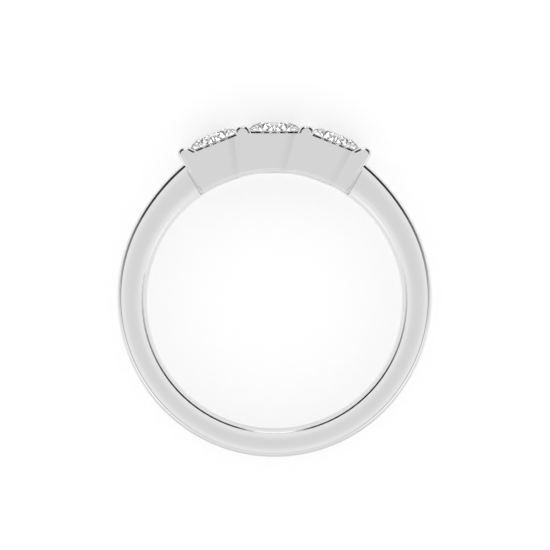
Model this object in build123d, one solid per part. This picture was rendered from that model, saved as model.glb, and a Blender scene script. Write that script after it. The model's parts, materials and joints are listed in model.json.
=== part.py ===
from build123d import *

import math
import os

# A three stone ring in white metal. It lies on its side: the finger passes along Z, the
# stones face +Y, and the origin is the centre of the finger hole. The mount is one casting:
# a band that is domed outside and eased inside, and a head, flush with it at both sides, that
# has three conical seats and four pairs of claws. The two middle pairs each hold two stones.

# The finger hole, the width of band and head, and the band's outline, in millimetres
finger_radius = 8.65
half_width = 2.0
palm_radius = 10.55
flank_radius = 10.86
shoulder_radius = 13.77
# Directions from the head, in degrees, where one arc of the band's outline meets the next
flank_start = 135.0
shoulder_start = 60.0
shoulder_end = 37.0
band_stock = 3.2

# The rounding of the band's outer edges and of its edges at the finger hole, each arc by its
# radius and the tilt at which it ends
crown_radius = 3.5
crown_tilt = 10.0
edge_radius = 0.28
dome_tilt = 86.0
hole_crown_radius = 3.0
hole_crown_tilt = 11.5
hole_edge_radius = 0.20
comfort_tilt = 50.0
comfort_radius = 0.85
# The plain rounding of the head's edges at the finger hole
head_hole_radius = 0.30

# The stones, round brilliants of one size
stone_diameter = 3.77
table_share = 0.57
crown_angle = 34.5
pavilion_angle = 40.8
girdle_share = 0.03
star_share = 0.53
lower_half_share = 0.78
# Half the turn from one main facet to the next
half_facet = 22.5
girdle_foot = 11.37
side_stone_place = 20.7
side_stone_lean = 21.5

# The head's outline
seat_height = 11.30
foot_height = 6.95
end_wall_lean = 30.0
end_wall_offset = 0.741
centre_notch = 1.55
centre_flank_lean = 26.6
side_notch_inner = 1.64
side_notch_outer = 1.17
end_flank_lean = 43.0
claw_place = 10.6
claw_height = 12.02
claw_round = 0.42
end_claw_height = 10.36
end_claw_round = 0.42
end_claw_shoulder = 0.30
# How far the outline is rounded over towards the head's flat sides, but for the notches' floors
rim_radius = 0.26

# The slots that part front claws from back ones
claw_reach = 0.50
claw_gap_half = 1.0
gap_floor = 11.40
end_claw_place = 6.0
end_gap_floor = 9.70
nose_radius = 0.35

# The seats. Their cones lean a little more than the stone's main facets, to clear the girdle's
stone_gap = 0.04
seat_crown_angle = 41.0
seat_pavilion_angle = 41.5
hole_radius = 1.05
hole_foot = 8.0

# Longer than anything that a cut goes through, and shorter than anything that counts
reach = 40.0
nearly = 0.0001


def direction(degrees):
    """The unit vector that many degrees clockwise from +Y."""
    turn = math.radians(degrees)
    return Vector(math.sin(turn), math.cos(turn), 0)


def leaning(degrees, along, up):
    """A point along and up from the origin, in axes turned clockwise by that many degrees."""
    return direction(degrees + 90) * along + direction(degrees) * up


def meet(a, a_degrees, b, b_degrees):
    """Where the line through a meets the line through b, each by its direction."""
    u, v = direction(a_degrees), direction(b_degrees)
    gap = b - a
    share = (gap.X * v.Y - gap.Y * v.X) / (u.X * v.Y - u.Y * v.X)
    return a + u * share


def edge_arcs(start, heading, turn, tilts, radii):
    """Tangent arcs from a flat face round an edge, between the tilts given in degrees."""
    arcs = []
    for radius, low, high in zip(radii, tilts, tilts[1:]):
        arc = JernArc(start, heading, radius, turn * (high - low))
        arcs.append(arc)
        start, heading = arc @ 1, arc % 1
    return arcs


def arcs_size(tilts, radii):
    """How far those arcs reach across the face, and how far below it they end."""
    across = 0.0
    down = 0.0
    for radius, low, high in zip(radii, tilts, tilts[1:]):
        low, high = math.radians(low), math.radians(high)
        across += radius * (math.sin(high) - math.sin(low))
        down += radius * (math.cos(low) - math.cos(high))
    return across, down


def turned(profile, centre, start, sweep):
    """A profile of radius and height turned about a vertical axis, clockwise from start."""
    spoke = direction(start + sweep)
    plane = Plane(origin=centre, x_dir=spoke, z_dir=spoke.cross(Vector(0, 0, 1)))
    return revolve(plane * profile, axis=Axis(centre, (0, 0, 1)), revolution_arc=sweep)


def rim_profile(radius):
    """Half the section of a disc as wide as the band, with its rim domed."""
    tilts = (0.0, crown_tilt, dome_tilt)
    radii = (crown_radius, edge_radius)
    across, down = arcs_size(tilts, radii)
    dome = (half_width - down) / math.cos(math.radians(dome_tilt))
    dome_start = radius - dome * (1 - math.sin(math.radians(dome_tilt)))
    flat = dome_start - across
    upper = edge_arcs(Vector(flat, half_width), Vector(1, 0), -1, tilts, radii)
    lower = [mirror(arc, about=Plane.XZ) for arc in upper]
    rim = ThreePointArc(upper[-1] @ 1, (radius, 0), lower[-1] @ 1)
    inner = radius - band_stock
    box = Polyline(
        (flat, -half_width),
        (inner, -half_width),
        (inner, half_width),
        (flat, half_width),
    )
    return make_face([*upper, rim, *lower, *box.edges()])


def finger_hole(tilts, radii):
    """What the finger hole takes away, its wall eased by tangent arcs towards both sides."""
    across, down = arcs_size(tilts, radii)
    flat = finger_radius + across
    wall = half_width - down
    upper = edge_arcs(Vector(flat, half_width), Vector(-1, 0), 1, tilts, radii)
    lower = [mirror(arc, about=Plane.XZ) for arc in upper]
    bore = Line((finger_radius, wall), (finger_radius, -wall))
    inside = Polyline(
        (flat, half_width), (flat, reach), (0, reach), (0, -reach), (flat, -reach), (flat, -half_width)
    )
    profile = make_face([*upper, bore, *lower, *inside.edges()])
    return turned(profile, Vector(0, 0, 0), 0, 360)


def band():
    """Five sectors of domed discs whose rims meet in tangents, less the finger hole."""
    flank_centre = direction(flank_start) * (palm_radius - flank_radius)
    shoulder_centre = flank_centre + direction(shoulder_start) * (flank_radius - shoulder_radius)
    palm = turned(rim_profile(palm_radius), Vector(0, 0, 0), flank_start, 360 - 2 * flank_start)
    flank = turned(
        rim_profile(flank_radius), flank_centre, shoulder_start, flank_start - shoulder_start
    )
    shoulder = turned(
        rim_profile(shoulder_radius), shoulder_centre, shoulder_end, shoulder_start - shoulder_end
    )
    side = flank + shoulder
    tilts = (0.0, hole_crown_tilt, comfort_tilt, 90.0)
    hole = finger_hole(tilts, (hole_crown_radius, hole_edge_radius, comfort_radius))
    return palm + side + mirror(side, about=Plane.YZ) - hole


def head_outline():
    """The head seen along the finger: end walls, claws and the notches between them."""
    end_wall = direction(end_wall_lean + 90) * end_wall_offset
    foot = Vector(0, foot_height, 0)
    claw_top = direction(claw_place) * claw_height
    inner_corner = Vector(centre_notch, seat_height, 0)
    outer_corner = leaning(side_stone_lean, -side_notch_inner, seat_height)
    end_corner = leaning(side_stone_lean, side_notch_outer, seat_height)
    end_top = Vector(0, end_claw_height, 0)
    end_flank = side_stone_lean + end_flank_lean
    right = [
        (inner_corner, 0.0),
        (meet(inner_corner, centre_flank_lean, claw_top, claw_place + 90), claw_round),
        (meet(outer_corner, side_stone_lean, claw_top, claw_place + 90), claw_round),
        (outer_corner, 0.0),
        (end_corner, 0.0),
        (meet(end_corner, end_flank, end_top, 90), end_claw_shoulder),
        (meet(end_wall, end_wall_lean, end_top, 90), end_claw_round),
        (meet(end_wall, end_wall_lean, foot, 90), 0.0),
    ]
    left = [(Vector(-p.X, p.Y, 0), radius) for p, radius in reversed(right)]
    corners = right + left
    outline = FilletPolyline(
        *[p for p, radius in corners], radius=[radius for p, radius in corners], close=True
    )
    return make_face(outline.edges())


def claw_gap(lean, place, top, floor):
    """The slot between a front claw and a back one, its upper edges rounded over."""
    shoulder = top - nose_radius
    side = claw_reach + nose_radius
    right = [
        Line((claw_reach, floor), (claw_reach, shoulder)),
        RadiusArc((claw_reach, shoulder), (side, top), nose_radius),
        Polyline((side, top), (side, reach), (0, reach)),
    ]
    left = [mirror(line, about=Plane.YZ) for line in right]
    lines = [*right, *left, Line((-claw_reach, floor), (claw_reach, floor))]
    across = Vector(0, 0, 1).cross(direction(lean))
    plane = Plane(origin=direction(lean + 90) * place, x_dir=(0, 0, 1), z_dir=across)
    profile = make_face([edge for line in lines for edge in line.edges()])
    return extrude(plane * profile, amount=claw_gap_half, both=True)


def seat(place, lean):
    """The room for one stone: a hole to the finger, a cone, the girdle's pocket and the crown's."""
    top = girdle_foot + stone_diameter * girdle_share
    wall = stone_diameter / 2 + stone_gap
    pavilion = math.radians(seat_pavilion_angle)
    crown = math.radians(seat_crown_angle)
    cone_top = girdle_foot - stone_gap * (1 - math.sin(pavilion)) / math.cos(pavilion)
    cone_foot = cone_top - (wall - hole_radius) * math.tan(pavilion)
    crown_foot = top + stone_gap * (1 - math.sin(crown)) / math.cos(crown)
    crown_top = crown_foot + (wall - hole_radius) * math.tan(crown)
    profile = Polyline(
        (0, hole_foot),
        (hole_radius, hole_foot),
        (hole_radius, cone_foot),
        (wall, cone_top),
        (wall, crown_foot),
        (hole_radius, crown_top),
        (hole_radius, reach),
        (0, reach),
        close=True,
    )
    tool = revolve(Plane.XZ * make_face(profile.edges()), axis=Axis.Z)
    return stone_location(place, lean, 0) * tool


def stone_location(place, lean, up):
    """Where a stone's own axes go: its axis leans, and its girdle lies in the direction given."""
    shift = girdle_foot * math.tan(math.radians(place - lean))
    origin = leaning(lean, shift, up)
    return Plane(origin=origin, x_dir=direction(lean + 90), z_dir=direction(lean)).location


def on_notch_floor(edge):
    """Whether an edge of the head's outline lies in the floor of one of its notches."""
    for lean in (0, side_stone_lean, -side_stone_lean):
        rise = [(edge @ end).dot(direction(lean)) - seat_height for end in (0, 1)]
        if max(abs(rise[0]), abs(rise[1])) < nearly:
            return True
    return False


def head():
    """The block of the head with its edges eased, less the finger hole."""
    block = extrude(head_outline(), amount=half_width, both=True)
    # The outline's foot is left out too, since the finger hole takes it away
    rims = [
        edge
        for edge in block.edges().filter_by(Plane.XY)
        if edge.center().Y > foot_height + nearly and not on_notch_floor(edge)
    ]
    return fillet(rims, rim_radius) - finger_hole((0.0, 90.0), (head_hole_radius,))


def cut_seats(metal):
    """The metal with its seats and with the slots between front and back claws."""
    for side in (1, -1):
        metal -= claw_gap(side * claw_place, 0, claw_height, gap_floor)
        metal -= claw_gap(0, side * end_claw_place, end_claw_height, end_gap_floor)
    for place, lean in stone_places.values():
        metal -= seat(place, lean)
    return metal


def brilliant():
    """A round brilliant that stands on its girdle's foot, cut from a cylinder by its facets."""
    radius = stone_diameter / 2
    girdle = stone_diameter * girdle_share
    crown = math.tan(math.radians(crown_angle))
    pavilion = math.tan(math.radians(pavilion_angle))
    # How much nearer a facet's flat is than its corner
    flat = math.cos(math.radians(half_facet))
    table_radius = radius * table_share
    table = girdle + (radius - table_radius) * crown
    star_start = table_radius * flat
    star_tip = star_start + star_share * (radius - star_start)
    star_height = girdle + (radius - star_tip * flat) * crown
    lower_tip = radius * (1 - lower_half_share)
    lower_depth = -(radius - lower_tip * flat) * pavilion
    culet = -radius * pavilion

    def at(turn, distance, height):
        angle = math.radians(turn)
        return Vector(distance * math.cos(angle), distance * math.sin(angle), height)

    facets = []
    for main in (half_facet * (1 + 2 * k) for k in range(8)):
        halfway = main + half_facet
        following = main + 2 * half_facet
        star = at(halfway, star_tip, star_height)
        lower = at(halfway, lower_tip, lower_depth)
        facets.append((at(main, table_radius, table), at(following, table_radius, table), star))
        facets.append((at(main, radius, girdle), at(main, table_radius, table), star))
        facets.append((at(main, radius, 0), at(main, 0, culet), lower))
        for corner in (main, following):
            facets.append((at(corner, radius, girdle), at(halfway, radius, girdle), star))
            facets.append((at(corner, radius, 0), at(halfway, radius, 0), lower))
    stone = Pos(0, 0, culet) * Solid.make_cylinder(radius, table - culet)
    for a, b, c in facets:
        normal = (b - a).cross(c - a).normalized()
        if normal.dot(a) < 0:
            normal = -normal
        stone = split(stone, bisect_by=Plane(origin=a, z_dir=normal), keep=Keep.BOTTOM)
    return stone


# Each stone by the direction of its girdle from the finger's centre, and by its axis's lean
stone_places = {
    "centre_stone": (0, 0),
    "left_stone": (-side_stone_place, -side_stone_lean),
    "right_stone": (side_stone_place, side_stone_lean),
}

os.makedirs("parts", exist_ok=True)
export_step(cut_seats(band() + head()), "parts/ring_mount.step")
stone = brilliant()
for name, (place, lean) in stone_places.items():
    export_step(stone_location(place, lean, girdle_foot) * stone, f"parts/{name}.step")
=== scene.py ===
"""A three stone ring in white metal, lying on its side on a pale floor.

The frame's pieces keep their shape. This script polishes them and sets the floor, the light and
the camera. Lengths are in metres and angles in degrees, in the ring's own axes: the finger
passes along Z, the stones face +Y, and the origin is the centre of the finger hole.
"""

import json
import math

import bpy
import numpy as np
from bpy.props import FloatProperty, FloatVectorProperty, PointerProperty
from bpy.types import Operator, Panel, PropertyGroup
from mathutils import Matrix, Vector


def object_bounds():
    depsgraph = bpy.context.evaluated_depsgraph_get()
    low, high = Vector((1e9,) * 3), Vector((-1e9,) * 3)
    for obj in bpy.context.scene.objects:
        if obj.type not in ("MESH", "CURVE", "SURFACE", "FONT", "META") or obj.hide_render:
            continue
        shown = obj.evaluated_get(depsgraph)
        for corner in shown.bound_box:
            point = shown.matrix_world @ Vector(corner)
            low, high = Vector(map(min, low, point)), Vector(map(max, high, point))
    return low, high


bl_info = {
    "name": "Three stone ring",
    "version": (1, 0, 0),
    "blender": (4, 5, 0),
    "location": "3D View > Sidebar > Ring",
    "description": "Finishes a three stone ring and sets its floor, light and camera",
    "category": "Object",
}

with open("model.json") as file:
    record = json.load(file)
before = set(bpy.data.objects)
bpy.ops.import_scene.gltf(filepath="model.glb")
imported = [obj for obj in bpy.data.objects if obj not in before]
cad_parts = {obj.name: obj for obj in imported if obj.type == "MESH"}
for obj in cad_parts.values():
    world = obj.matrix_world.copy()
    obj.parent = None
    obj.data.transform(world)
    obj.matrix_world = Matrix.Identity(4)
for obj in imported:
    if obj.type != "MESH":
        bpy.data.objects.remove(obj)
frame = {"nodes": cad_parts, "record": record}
CAD_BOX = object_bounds()

# Each stone by how far its axis leans clockwise from +Y, and its girdle's ends along that axis
SIDE_LEAN = 21.5
STONES = {"centre_stone": 0.0, "left_stone": -SIDE_LEAN, "right_stone": SIDE_LEAN}
GIRDLE_FOOT = 0.01137
GIRDLE_TOP = 0.011483

# The photograph's frame and what it shows of the ring, in its pixels
FRAME_SIDE = 550
FINGER_HOLE_ACROSS = 256.0
HOLE_CENTRE = (274.5, 300.8)

FINGER_RADIUS = frame["record"]["mounts"][0]["dims"]["r_mm"] / 1000
PIXEL = 2 * FINGER_RADIUS / FINGER_HOLE_ACROSS

# The lines of painted shade down the head's sides, in soft creases: how far each stone leans,
# how far right of the stone's axis its line passes at CREASE_HEIGHT from the finger's axis, and
# the line's own lean
CREASES = ((-SIDE_LEAN, 0.001115, -7.5), (0.0, 0.001014, 15.4), (SIDE_LEAN, 0.000912, 28.6))
CREASE_HEIGHT = 0.01014
# How wide a crease's painted shade is left and right of its line, how faint it is by the finger
# hole, and the distances from the finger's axis between which it deepens
CREASE_WIDTHS = (0.0006, 0.0002)
CREASE_FAINTEST = 0.4
CREASE_DEEPENS = (0.0085, 0.0112)

# The painted shade along the seam of the band with each end of the head: its lean and its
# distance from the axis
SEAM_LEAN = 30.0
SEAM_OFFSET = 0.000741
# How wide it is left and right of its line, then how wide it grows towards the finger hole, and
# the distances from the finger's axis between which it grows, and between which it begins
SEAM_WIDTHS = (0.00016, 0.00006)
SEAM_WIDEST = (0.00038, 0.00008)
SEAM_GROWS = (0.0102, 0.0089)
SEAM_BEGINS = (0.0109, 0.0103)

# The painted shade of creases and seams keeps to the head's half of the ring, by Y, and to its
# flat sides: it begins and is full at these depths below the side
HEAD_HALF = (0.0, 0.001)
SIDE_DEPTHS = (0.0003, 0.00005)

# Polishing lines in each metre across them and in each radian along them
HAIRLINES_ACROSS = 9000.0
HAIRLINES_ALONG = 6.0
HAIRLINE_DETAIL = 3.0
HAIRLINE_NOISE = (0.5, 0.8)
CLOUD_DETAIL = 4.0
CLOUD_NOISE = (0.55, 0.8)

# The studio's light, as stops of an angle and a level. Angles in a list named for its height
# are from straight up, and angles in a list named for its turn are from +Y, either way round.
CEILING_HEIGHT = (
    (0, 0.755),
    (4, 0.765),
    (8, 0.785),
    (11, 0.81),
    (14, 0.865),
    (18, 0.93),
    (22, 0.88),
    (27, 0.80),
    (36, 0.82),
    (44, 1.0),
    (180, 1.0),
)
SIDES_TURN = ((0, 1.1), (60, 1.1), (90, 1.0), (125, 1.1), (155, 0.86), (180, 0.84))
SIDES_HEIGHT = ((0, 0), (22, 0), (42, 1), (180, 1))
FLAG_HEIGHT = ((0, 0), (27, 0), (33, 1), (82, 1), (98, 0.4), (115, 0), (180, 0))
FLAG_TURN = (
    (0, 0),
    (7, 0),
    (16, 0.92),
    (45, 0.98),
    (56, 0.95),
    (66, 0.78),
    (76, 0.64),
    (90, 0.33),
    (105, 0.12),
    (130, 0),
)
BATTEN_HEIGHT = ((0, 0), (24, 0), (26, 1), (36, 1), (38, 0), (180, 0))
BATTEN_TURN = ((0, 0.6), (135, 0.6), (160, 0), (180, 0))
HALF_TURN = 180
# What the stones see of the studio: its least, and how much more where no flag stands
STONE_LEAST_LIGHT = 0.85
STONE_MORE_LIGHT = 1.75

# How much dimmer the floor is in the ring's reflections, how much more so where it looks away
# from the stones, and the Y between which that comes in
MIRRORED_DIMMING = 0.25
AWAY_DIMMING = 0.4
AWAY = (-0.004, -0.010)
FLOOR_ROUGHNESS = 0.9

SENSOR_MILLIMETRES = 36
NEAREST_SEEN = 0.001


class RingMetal(PropertyGroup):
    """The polished white metal."""

    colour: FloatVectorProperty(
        name="Colour",
        description="What the metal reflects straight on",
        subtype="COLOR",
        size=3,
        min=0,
        max=1,
        default=(0.87, 0.87, 0.875),
    )
    roughness: FloatProperty(
        name="Roughness",
        description="How far the polish blurs what it reflects",
        subtype="FACTOR",
        min=0,
        max=1,
        default=0.05,
    )
    hairlines: FloatProperty(
        name="Hairlines",
        description="How much rougher the faint polishing lines are",
        subtype="FACTOR",
        min=0,
        max=1,
        default=0.05,
    )
    # Painted shade: how strongly the creases below the stones darken the metal's colour
    painted_crease_shade: FloatProperty(
        name="Creases",
        description="How dark the soft creases below the stones are",
        subtype="FACTOR",
        min=0,
        max=1,
        default=0.09,
    )
    # Painted shade: how strongly the seams of band and head darken the metal's colour
    seam: FloatProperty(
        name="Seams",
        description="How dark the seams of band and head are",
        subtype="FACTOR",
        min=0,
        max=1,
        default=0.28,
    )


class RingStones(PropertyGroup):
    """The clear stones."""

    colour: FloatVectorProperty(
        name="Colour",
        description="What the stone lets through",
        subtype="COLOR",
        size=3,
        min=0,
        max=1,
        default=(1.0, 1.0, 1.0),
    )
    cloud_colour: FloatVectorProperty(
        name="Cloud colour",
        description="What the stone lets through where it is faintly clouded",
        subtype="COLOR",
        size=3,
        min=0,
        max=1,
        default=(0.96, 0.97, 0.98),
    )
    cloud_scale: FloatProperty(
        name="Cloud scale",
        description="How many clouds there are in each metre",
        min=1,
        default=900.0,
    )
    girdle_roughness: FloatProperty(
        name="Girdle roughness",
        description="How frosted the stone's widest part is",
        subtype="FACTOR",
        min=0,
        max=1,
        default=0.15,
    )
    refraction: FloatProperty(
        name="Refraction",
        description="The stone's index of refraction",
        min=1,
        max=3,
        default=2.417,
    )


class RingStage(PropertyGroup):
    """The floor, the light and the camera."""

    floor_colour: FloatVectorProperty(
        name="Floor colour",
        description="The floor's pale paint",
        subtype="COLOR",
        size=3,
        min=0,
        max=1,
        default=(0.92, 0.92, 0.92),
    )
    floor_side: FloatProperty(
        name="Floor side",
        description="How wide the floor is",
        subtype="DISTANCE",
        unit="LENGTH",
        min=0.1,
        default=6.0,
    )
    floor_glow: FloatProperty(
        name="Floor glow",
        description="How brightly the floor is lit from below, like a light table",
        min=0,
        default=0.51,
    )
    backdrop: FloatProperty(
        name="Backdrop",
        description="How bright the studio is behind the ring",
        min=0,
        default=1.2,
    )
    fill: FloatProperty(
        name="Fill",
        description="How brightly the studio lights the floor",
        min=0,
        default=0.6,
    )
    camera_height: FloatProperty(
        name="Camera height",
        description="How far above the ring the camera stands",
        subtype="DISTANCE",
        unit="LENGTH",
        min=0.05,
        default=1.0,
    )


def node_tree(material):
    """The material's emptied node tree, with its output and a Principled shader joined."""
    material.use_nodes = True
    tree = material.node_tree
    tree.nodes.clear()
    output = tree.nodes.new("ShaderNodeOutputMaterial")
    shader = tree.nodes.new("ShaderNodeBsdfPrincipled")
    tree.links.new(shader.outputs["BSDF"], output.inputs["Surface"])
    return tree, shader


def feed(tree, value, socket):
    """Gives a socket its value, a number or another node's result."""
    if isinstance(value, bpy.types.NodeSocket):
        tree.links.new(value, socket)
    else:
        socket.default_value = value


def math_node(tree, operation, *values):
    """The result of one maths node, its inputs numbers or other nodes' results."""
    node = tree.nodes.new("ShaderNodeMath")
    node.operation = operation
    for value, socket in zip(values, node.inputs):
        feed(tree, value, socket)
    return node.outputs[0]


def product(tree, first, *others):
    """All the values multiplied."""
    for other in others:
        first = math_node(tree, "MULTIPLY", first, other)
    return first


def fade(tree, value, start, end):
    """0 where the value is at the start or before, 1 at the end or beyond, smooth between."""
    node = tree.nodes.new("ShaderNodeMapRange")
    node.interpolation_type = "SMOOTHSTEP"
    tree.links.new(value, node.inputs["Value"])
    node.inputs["From Min"].default_value = start
    node.inputs["From Max"].default_value = end
    return node.outputs["Result"]


def between(tree, share, first, second):
    """A number between two: the first where the share is 0, the second where it is 1."""
    node = tree.nodes.new("ShaderNodeMix")
    node.data_type = "FLOAT"
    for value, name in ((share, "Factor"), (first, "A"), (second, "B")):
        feed(tree, value, node.inputs[name])
    return node.outputs["Result"]


def blend(tree, share, first, second):
    """A colour between two: the first where the share is 0, the second where it is 1."""
    node = tree.nodes.new("ShaderNodeMix")
    node.data_type = "RGBA"
    tree.links.new(share, node.inputs["Factor"])
    ends = [socket for socket in node.inputs if socket.type == "RGBA"]
    for socket, colour in zip(ends, (first, second)):
        socket.default_value = (*colour, 1)
    return next(socket for socket in node.outputs if socket.type == "RGBA")


def noise(tree, place, scale, detail, start, end):
    """1 where a noise is dense and 0 where it is thin, fading between two densities."""
    node = tree.nodes.new("ShaderNodeTexNoise")
    node.inputs["Scale"].default_value = scale
    node.inputs["Detail"].default_value = detail
    tree.links.new(place, node.inputs["Vector"])
    return fade(tree, node.outputs["Fac"], start, end)


def own_place(tree):
    """Each place in the ring's own axes."""
    return tree.nodes.new("ShaderNodeTexCoord").outputs["Object"]


def parts_of(tree, place):
    """The place's X, Y and Z."""
    node = tree.nodes.new("ShaderNodeSeparateXYZ")
    tree.links.new(place, node.inputs[0])
    return node.outputs


def from_axis(tree, x, y):
    """How far the place is from the finger's axis."""
    squares = math_node(tree, "MULTIPLY_ADD", x, x, math_node(tree, "MULTIPLY", y, y))
    return math_node(tree, "SQRT", squares)


def heading(degrees):
    """The unit vector that many degrees clockwise from +Y, seen from +Z."""
    turn = math.radians(degrees)
    return np.array((math.sin(turn), math.cos(turn), 0.0))


def along(tree, place, direction):
    """How far the place lies along a direction."""
    node = tree.nodes.new("ShaderNodeVectorMath")
    node.operation = "DOT_PRODUCT"
    tree.links.new(place, node.inputs[0])
    node.inputs[1].default_value = direction
    return node.outputs["Value"]


def beside_line(tree, place, point, degrees):
    """How far right of a line the place is, the line passing through a point at that heading."""
    across = heading(degrees + 90)
    return math_node(tree, "SUBTRACT", along(tree, place, across), float(point @ across))


def valley(tree, distance, before, after):
    """1 on a line and 0 away from it, over one width on its left and another on its right."""
    left = fade(tree, distance, -before, 0)
    right = fade(tree, distance, after, 0)
    return product(tree, left, right)


def shades(tree, settings):
    """How much darker each place is: painted shade in the soft creases and along the seams of
    the head's flat sides.
    """
    place = own_place(tree)
    x, y, z = parts_of(tree, place)
    radius = from_axis(tree, x, y)

    painted_crease_shade = 0.0
    for lean, aside, line in CREASES:
        point = heading(lean + 90) * aside + heading(lean) * CREASE_HEIGHT
        distance = beside_line(tree, place, point, line)
        painted_crease_shade = math_node(tree, "MAXIMUM", painted_crease_shade, valley(tree, distance, *CREASE_WIDTHS))
    deepening = fade(tree, radius, *CREASE_DEEPENS)
    depth = math_node(tree, "MULTIPLY_ADD", deepening, 1 - CREASE_FAINTEST, CREASE_FAINTEST)
    painted_crease_shade = product(tree, painted_crease_shade, depth, settings.painted_crease_shade)

    # The painted shade along both ends' seams at once, the left one mirrored onto the right
    mirrored = tree.nodes.new("ShaderNodeCombineXYZ")
    tree.links.new(math_node(tree, "ABSOLUTE", x), mirrored.inputs["X"])
    tree.links.new(y, mirrored.inputs["Y"])
    wall = heading(SEAM_LEAN + 90) * SEAM_OFFSET
    distance = beside_line(tree, mirrored.outputs[0], wall, SEAM_LEAN)
    narrow = valley(tree, distance, *SEAM_WIDTHS)
    wide = product(tree, valley(tree, distance, *SEAM_WIDEST), fade(tree, radius, *SEAM_GROWS))
    seam = math_node(tree, "MAXIMUM", narrow, wide)
    seam = product(tree, seam, fade(tree, radius, *SEAM_BEGINS), settings.seam)

    side = CAD_BOX[1][2]
    first, full = (side - depth for depth in SIDE_DEPTHS)
    on_side = fade(tree, math_node(tree, "ABSOLUTE", z), first, full)
    on_head = fade(tree, y, *HEAD_HALF)
    return product(tree, math_node(tree, "MAXIMUM", painted_crease_shade, seam), on_head, on_side)


def hairlines(tree):
    """1 on the faint polishing lines that run round the ring, and 0 between them."""
    x, y, z = parts_of(tree, own_place(tree))
    turn = math_node(tree, "ARCTAN2", x, y)
    unrolled = tree.nodes.new("ShaderNodeCombineXYZ")
    stretches = (
        (from_axis(tree, x, y), HAIRLINES_ACROSS),
        (z, HAIRLINES_ACROSS),
        (turn, HAIRLINES_ALONG),
    )
    for (value, stretch), socket in zip(stretches, unrolled.inputs):
        tree.links.new(product(tree, value, stretch), socket)
    return noise(tree, unrolled.outputs[0], 1.0, HAIRLINE_DETAIL, *HAIRLINE_NOISE)


def metal_material(settings):
    """A mirror polish: faint hairlines round the ring, and painted shade in the soft creases and
    along the seams of the head's sides.
    """
    material = bpy.data.materials.new("white_metal")
    tree, shader = node_tree(material)
    # The metal's colour darkened towards black by painted shade in the creases and along the
    # seams
    colour = blend(tree, shades(tree, settings), settings.colour, (0, 0, 0))
    tree.links.new(colour, shader.inputs["Base Color"])
    haze = product(tree, hairlines(tree), settings.hairlines)
    rough = math_node(tree, "ADD", haze, settings.roughness)
    tree.links.new(rough, shader.inputs["Roughness"])
    shader.inputs["Metallic"].default_value = 1
    return material


def stone_material(settings, name, lean):
    """Clear and colourless, with polished facets, a frosted girdle and a breath of cloud."""
    material = bpy.data.materials.new(name)
    tree, shader = node_tree(material)
    place = own_place(tree)
    cloud = noise(tree, place, settings.cloud_scale, CLOUD_DETAIL, *CLOUD_NOISE)
    tint = blend(tree, cloud, settings.colour, settings.cloud_colour)
    tree.links.new(tint, shader.inputs["Base Color"])

    height = along(tree, place, heading(lean))
    above = math_node(tree, "GREATER_THAN", height, GIRDLE_FOOT)
    below = math_node(tree, "LESS_THAN", height, GIRDLE_TOP)
    rough = product(tree, above, below, settings.girdle_roughness)
    tree.links.new(rough, shader.inputs["Roughness"])
    shader.inputs["IOR"].default_value = settings.refraction
    shader.inputs["Transmission Weight"].default_value = 1
    return material


def dress(piece, material):
    """The piece in one material."""
    piece.data.materials.clear()
    piece.data.materials.append(material)


class RING_OT_mount(Operator):
    """Polishes the band, head and claws."""

    bl_idname = "ring.mount"
    bl_label = "Metal"

    def execute(self, context):
        piece = frame["nodes"]["ring_mount"]
        dress(piece, metal_material(context.scene.ring_metal))
        return {"FINISHED"}


class RING_OT_stones(Operator):
    """Gives the three stones their clear material."""

    bl_idname = "ring.stones"
    bl_label = "Stones"

    def execute(self, context):
        for name, lean in STONES.items():
            material = stone_material(context.scene.ring_stones, f"{name}_crystal", lean)
            dress(frame["nodes"][name], material)
        return {"FINISHED"}


def ramp(tree, angle, stops):
    """The level at an angle, read off the stops, the angle given as a share of a half turn."""
    node = tree.nodes.new("ShaderNodeValToRGB")
    elements = node.color_ramp.elements
    while len(elements) < len(stops):
        elements.new(0.5)
    for element, (degrees, level) in zip(elements, stops):
        element.position = degrees / HALF_TURN
        element.color = (level, level, level, 1)
    tree.links.new(angle, node.inputs[0])
    return node.outputs[0]


def studio(tree, settings):
    """The light from each direction: a grey ceiling, white sides, two black flags and a batten.

    The tall flags stand either side of the stones' direction. The batten is a thin dark line
    round the ceiling's rim, which the ring's rounded edges mirror."""
    nodes, links = tree.nodes, tree.links
    nodes.clear()
    direction = nodes.new("ShaderNodeTexCoord").outputs["Generated"]
    x, y, z = parts_of(tree, direction)
    height = math_node(tree, "DIVIDE", math_node(tree, "ARCCOSINE", z), math.pi)
    either_way = math_node(tree, "ABSOLUTE", math_node(tree, "ARCTAN2", x, y))
    turn = math_node(tree, "DIVIDE", either_way, math.pi)

    def clear_of(heights, turns):
        """1 clear of a dark thing, less by the product of its ramps over height and turn."""
        dark = product(tree, ramp(tree, height, heights), ramp(tree, turn, turns))
        return math_node(tree, "SUBTRACT", 1.0, dark)

    ceiling = ramp(tree, height, CEILING_HEIGHT)
    uneven = math_node(tree, "SUBTRACT", ramp(tree, turn, SIDES_TURN), 1.0)
    sides = math_node(tree, "MULTIPLY_ADD", uneven, ramp(tree, height, SIDES_HEIGHT), 1.0)
    lit = clear_of(FLAG_HEIGHT, FLAG_TURN)
    metal_light = product(tree, ceiling, sides, lit, clear_of(BATTEN_HEIGHT, BATTEN_TURN))
    stone_light = math_node(tree, "MULTIPLY_ADD", lit, STONE_MORE_LIGHT, STONE_LEAST_LIGHT)

    path = nodes.new("ShaderNodeLightPath").outputs
    light = between(tree, path["Is Transmission Ray"], metal_light, stone_light)
    from_floor = math_node(tree, "GREATER_THAN", path["Diffuse Depth"], 0.5)
    light = between(tree, from_floor, light, settings.fill)
    light = between(tree, path["Is Camera Ray"], light, settings.backdrop)
    background = nodes.new("ShaderNodeBackground")
    links.new(light, background.inputs["Color"])
    output = nodes.new("ShaderNodeOutputWorld")
    links.new(background.outputs[0], output.inputs["Surface"])


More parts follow.
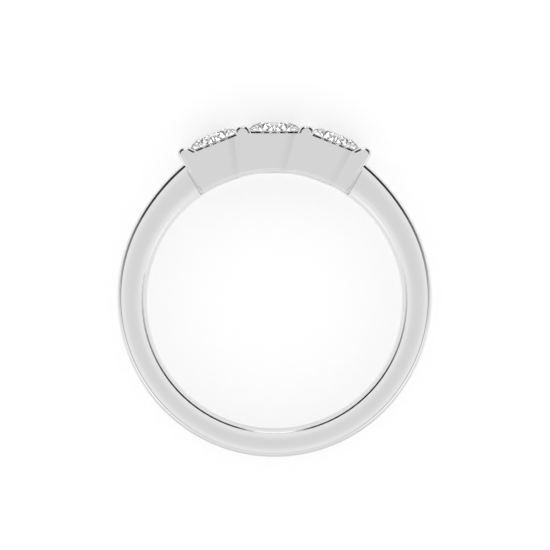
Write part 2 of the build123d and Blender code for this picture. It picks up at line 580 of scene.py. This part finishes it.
def floor_material(settings):
    """Pale matt paint, lit from above and below, that the ring mirrors more dimly than it is."""
    material = bpy.data.materials.new("floor_paint")
    tree, shader = node_tree(material)
    away = fade(tree, parts_of(tree, own_place(tree))["Y"], *AWAY)
    dimming = math_node(tree, "MULTIPLY_ADD", away, AWAY_DIMMING, MIRRORED_DIMMING)
    mirrored = tree.nodes.new("ShaderNodeLightPath").outputs["Is Glossy Ray"]
    kept = math_node(tree, "SUBTRACT", 1.0, product(tree, mirrored, dimming))
    tree.links.new(product(tree, kept, settings.floor_glow), shader.inputs["Emission Strength"])
    shader.inputs["Base Color"].default_value = (*settings.floor_colour, 1)
    shader.inputs["Emission Color"].default_value = (*settings.floor_colour, 1)
    shader.inputs["Roughness"].default_value = FLOOR_ROUGHNESS
    shader.inputs["Specular IOR Level"].default_value = 0
    return material


def floor(settings):
    """A plain pale sheet at the ring's lowest point."""
    half = settings.floor_side / 2
    low = CAD_BOX[0][2]
    corners = [(-half, -half, low), (half, -half, low), (half, half, low), (-half, half, low)]
    mesh = bpy.data.meshes.new("floor")
    mesh.from_pydata(corners, [], [(0, 1, 2, 3)])
    piece = bpy.data.objects.new("floor", mesh)
    bpy.context.scene.collection.objects.link(piece)
    dress(piece, floor_material(settings))


def camera(settings):
    """Straight above, with the photograph's scale and its framing of the ring."""
    data = bpy.data.cameras.new("camera")
    piece = bpy.data.objects.new("camera", data)
    bpy.context.scene.collection.objects.link(piece)
    across = FRAME_SIDE * PIXEL
    data.sensor_width = SENSOR_MILLIMETRES
    data.lens = SENSOR_MILLIMETRES * settings.camera_height / across
    data.clip_start = NEAREST_SEEN
    aside = (FRAME_SIDE / 2 - HOLE_CENTRE[0]) * PIXEL
    ahead = (HOLE_CENTRE[1] - FRAME_SIDE / 2) * PIXEL
    piece.location = (aside, ahead, settings.camera_height)
    bpy.context.scene.camera = piece


class RING_OT_stage(Operator):
    """Lays the floor, lights the studio and stands the camera above the ring."""

    bl_idname = "ring.stage"
    bl_label = "Stage"

    def execute(self, context):
        scene = context.scene
        settings = scene.ring_stage
        if scene.world is None:
            scene.world = bpy.data.worlds.new("studio")
        scene.world.use_nodes = True
        studio(scene.world.node_tree, settings)
        floor(settings)
        camera(settings)
        scene.view_settings.view_transform = "Standard"
        return {"FINISHED"}


class RING_PT_panel(Panel):
    """Lists the ring's operators and settings."""

    bl_idname = "RING_PT_panel"
    bl_label = "Three stone ring"
    bl_space_type = "VIEW_3D"
    bl_region_type = "UI"
    bl_category = "Ring"

    def draw(self, context):
        for operator, settings in SECTIONS:
            self.layout.operator(operator.bl_idname)
            group = getattr(context.scene, settings)
            for name in group.__annotations__:
                self.layout.prop(group, name)


SECTIONS = (
    (RING_OT_mount, "ring_metal"),
    (RING_OT_stones, "ring_stones"),
    (RING_OT_stage, "ring_stage"),
)
SETTINGS = {"ring_metal": RingMetal, "ring_stones": RingStones, "ring_stage": RingStage}
CLASSES = (*SETTINGS.values(), *[operator for operator, settings in SECTIONS], RING_PT_panel)


def register():
    for each in CLASSES:
        bpy.utils.register_class(each)
    for name, group in SETTINGS.items():
        setattr(bpy.types.Scene, name, PointerProperty(type=group))


def unregister():
    for name in SETTINGS:
        delattr(bpy.types.Scene, name)
    for each in reversed(CLASSES):
        bpy.utils.unregister_class(each)


def main():
    register()
    bpy.ops.ring.mount()
    bpy.ops.ring.stones()
    bpy.ops.ring.stage()


if __name__ == "__main__":
    main()
